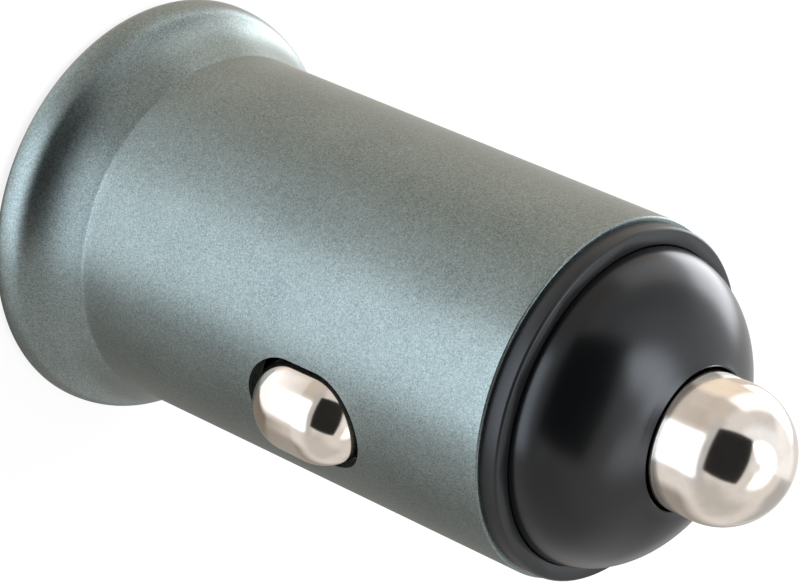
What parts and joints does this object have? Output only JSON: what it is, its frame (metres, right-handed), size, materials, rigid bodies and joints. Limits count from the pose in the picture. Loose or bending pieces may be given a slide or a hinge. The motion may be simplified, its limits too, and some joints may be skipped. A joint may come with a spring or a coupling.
{
  "type": "car usb charger plug",
  "caption": "Compact metal plug for a car's 12 V socket, with a flared flange that holds USB ports, a black domed nose, a sprung centre tip and sprung side contacts.",
  "frame": {"origin": "centre of the flange's port face, on which the plug stands", "axes": "+Z along the plug's axis from the port face to the centre tip; side contacts along +X and -X; USB ports stacked along Y"},
  "size_m": [0.025, 0.025, 0.0466],
  "materials": {
    "shell_metal": "bead-blasted and anodised in grey teal",
    "black_plastic": "fine matt black moulding",
    "nose_plastic": "satin black",
    "clear_lens": "clear frosted light guide",
    "lamp_resin": "yellow-white resin",
    "tin_plate": "tinned sheet steel",
    "gold_plate": "gold-flashed contacts",
    "board_green": "green solder mask",
    "ferrite": "dark grey ferrite",
    "copper_wire": "enamelled copper",
    "can_metal": "bare aluminium can",
    "can_sleeve": "shrunk dark blue sleeve",
    "bung_rubber": "black rubber",
    "chip_resin": "moulded black resin",
    "fuse_ceramic": "white ceramic",
    "tan_ceramic": "tan ceramic",
    "terminal_brass": "plain brass",
    "spring_steel": "drawn spring steel",
    "nickel": "bright nickel plate with a warm tint"
  },
  "bodies": {
    "plug_body": {"body_shell": "shell_metal", "port_fascia": "black_plastic", "indicator_lens": "clear_lens", "indicator_lamp": "lamp_resin", "port_shell_upper": "tin_plate", "port_shell_lower": "tin_plate", "port_tongue_upper": "black_plastic", "port_tongue_lower": "black_plastic", "port_contacts_upper": "gold_plate", "port_contacts_lower": "gold_plate", "circuit_board": "board_green", "inductor_core": "ferrite", "inductor_winding": "copper_wire", "output_capacitor": "can_metal", "output_capacitor_base": "black_plastic", "input_capacitor": "can_sleeve", "input_capacitor_bung": "bung_rubber", "input_capacitor_leads": "tin_plate", "converter_chip": "chip_resin", "converter_leads": "tin_plate", "controller_chip": "chip_resin", "controller_leads": "tin_plate", "diode_body": "chip_resin", "diode_tabs": "tin_plate", "input_fuse": "fuse_ceramic", "ceramic_capacitors": "tan_ceramic", "chip_resistors": "chip_resin", "inner_carrier": "black_plastic", "positive_terminal": "terminal_brass", "tip_spring": "spring_steel", "nose_dome": "nose_plastic", "pivot_pin_left": "spring_steel", "pivot_pin_right": "spring_steel", "ground_tab_left": "terminal_brass", "ground_tab_right": "terminal_brass"},
    "tip": {"centre_tip": "nickel"},
    "contact_left": {"ground_contact_left": "nickel"},
    "contact_right": {"ground_contact_right": "nickel"}
  },
  "joints": [
    {"name": "tip_press", "type": "slide", "parent": "plug_body", "child": "tip", "axis": [0, 0, -1], "range_m": [0, 0.0024], "stiffness_N_per_m": 1500, "deforming": ["tip_spring"]},
    {"name": "contact_right_press", "type": "hinge", "parent": "plug_body", "child": "contact_right", "pos_m": [0.00754, 0, 0.031], "axis": [0, 1, 0], "range_deg": [0, 12.3], "stiffness_Nm_per_rad": 0.12},
    {"name": "contact_left_press", "type": "hinge", "parent": "plug_body", "child": "contact_left", "pos_m": [-0.00754, 0, 0.031], "axis": [0, -1, 0], "range_deg": [0, 12.3], "stiffness_Nm_per_rad": 0.12}
  ]
}
